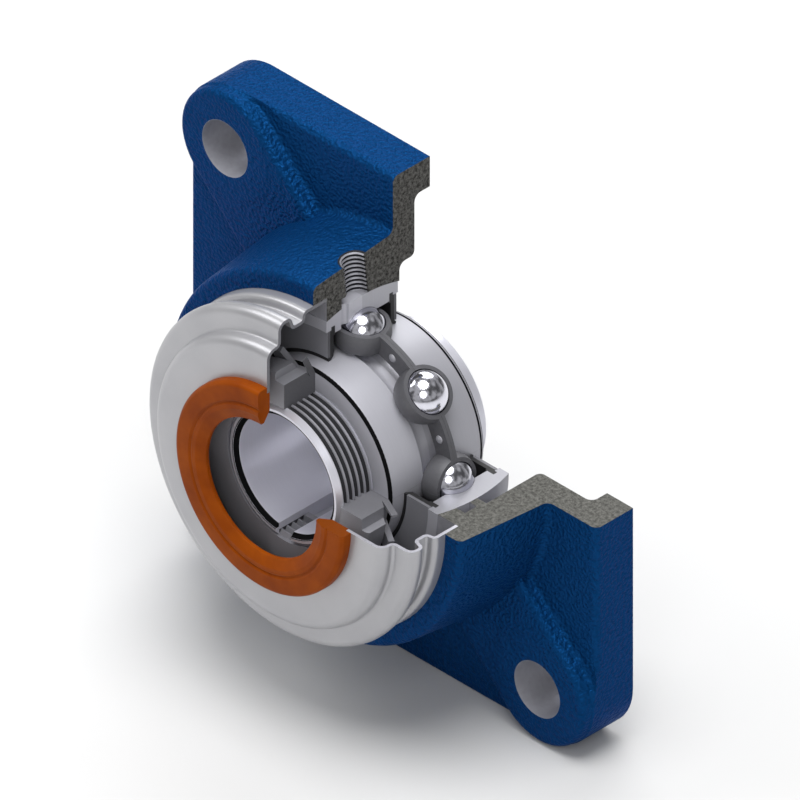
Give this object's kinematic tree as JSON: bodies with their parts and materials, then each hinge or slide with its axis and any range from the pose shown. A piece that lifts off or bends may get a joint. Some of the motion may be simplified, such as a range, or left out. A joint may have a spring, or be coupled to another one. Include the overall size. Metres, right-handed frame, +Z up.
{
  "type": "square flange bearing",
  "caption": "Square flange bearing unit with a self-aligning ball insert, adapter sleeve and pressed cover, cut away to show the balls and cage.",
  "frame": {"origin": "centre of the spherical seat, on the shaft's axis, 18 mm in front of the mounting face", "axes": "+Y along the shaft's axis, from the cover to the mounting face; +Z up; the cut-away quarter is at +X and +Z"},
  "size_m": [0.108, 0.0457, 0.108],
  "materials": {
    "blue_casting": "blue paint over a fine cast texture, bare grey where it is cut or machined",
    "bearing_steel": "ground and honed, satin",
    "polished_steel": "mirror polished",
    "dark_steel": "phosphated, dark grey and dull",
    "rivet_steel": "pressed heads, dull",
    "black_rubber": "moulded, matt",
    "turned_steel": "fine turned, satin",
    "cover_steel": "pressed bright sheet with soft highlights",
    "orange_rubber": "moulded, semi-gloss orange-brown"
  },
  "bodies": {
    "casing": {"housing": "blue_casting", "end_cover": "cover_steel", "cover_seal": "orange_rubber"},
    "insert": {"outer_ring": "bearing_steel", "front_seal_plate": "dark_steel", "front_seal_rubber": "black_rubber", "back_seal_plate": "dark_steel", "back_seal_rubber": "black_rubber"},
    "shaft_set": {"inner_ring": "bearing_steel", "adapter_sleeve": "turned_steel", "lock_washer": "dark_steel", "lock_nut": "dark_steel"},
    "cage": {"cage_front": "dark_steel", "cage_back": "dark_steel", "cage_rivets": "rivet_steel"},
    "ball_1": {"ball_1": "polished_steel"},
    "ball_2": {"ball_2": "polished_steel"},
    "ball_3": {"ball_3": "polished_steel"},
    "ball_4": {"ball_4": "polished_steel"},
    "ball_5": {"ball_5": "polished_steel"},
    "ball_6": {"ball_6": "polished_steel"},
    "ball_7": {"ball_7": "polished_steel"},
    "ball_8": {"ball_8": "polished_steel"}
  },
  "joints": [
    {"name": "insert_tilt", "type": "hinge", "parent": "casing", "child": "insert", "pos_m": [0, 0, 0], "axis": [1, 0, 0], "range_deg": [-2, 2]},
    {"name": "shaft_spin", "type": "hinge", "parent": "insert", "child": "shaft_set", "pos_m": [0, 0, 0], "axis": [0, 1, 0], "continuous": true},
    {"name": "cage_spin", "type": "hinge", "parent": "insert", "child": "cage", "pos_m": [0, 0, 0], "axis": [0, 1, 0], "continuous": true},
    {"name": "ball_1_spin", "type": "hinge", "parent": "cage", "child": "ball_1", "pos_m": [0, 0, 0.023], "axis": [0, 1, 0], "continuous": true},
    {"name": "ball_2_spin", "type": "hinge", "parent": "cage", "child": "ball_2", "pos_m": [0.01626, 0, 0.01626], "axis": [0, 1, 0], "continuous": true},
    {"name": "ball_3_spin", "type": "hinge", "parent": "cage", "child": "ball_3", "pos_m": [0.023, 0, 0], "axis": [0, 1, 0], "continuous": true},
    {"name": "ball_4_spin", "type": "hinge", "parent": "cage", "child": "ball_4", "pos_m": [0.01626, 0, -0.01626], "axis": [0, 1, 0], "continuous": true},
    {"name": "ball_5_spin", "type": "hinge", "parent": "cage", "child": "ball_5", "pos_m": [0, 0, -0.023], "axis": [0, 1, 0], "continuous": true},
    {"name": "ball_6_spin", "type": "hinge", "parent": "cage", "child": "ball_6", "pos_m": [-0.01626, 0, -0.01626], "axis": [0, 1, 0], "continuous": true},
    {"name": "ball_7_spin", "type": "hinge", "parent": "cage", "child": "ball_7", "pos_m": [-0.023, 0, 0], "axis": [0, 1, 0], "continuous": true},
    {"name": "ball_8_spin", "type": "hinge", "parent": "cage", "child": "ball_8", "pos_m": [-0.01626, 0, 0.01626], "axis": [0, 1, 0], "continuous": true}
  ],
  "couplings": [
    {"joint": "cage_spin", "follows": "shaft_spin", "ratio": 0.39647},
    {"joint": "ball_1_spin", "follows": "shaft_spin", "ratio": -2.3112},
    {"joint": "ball_2_spin", "follows": "shaft_spin", "ratio": -2.3112},
    {"joint": "ball_3_spin", "follows": "shaft_spin", "ratio": -2.3112},
    {"joint": "ball_4_spin", "follows": "shaft_spin", "ratio": -2.3112},
    {"joint": "ball_5_spin", "follows": "shaft_spin", "ratio": -2.3112},
    {"joint": "ball_6_spin", "follows": "shaft_spin", "ratio": -2.3112},
    {"joint": "ball_7_spin", "follows": "shaft_spin", "ratio": -2.3112},
    {"joint": "ball_8_spin", "follows": "shaft_spin", "ratio": -2.3112}
  ]
}
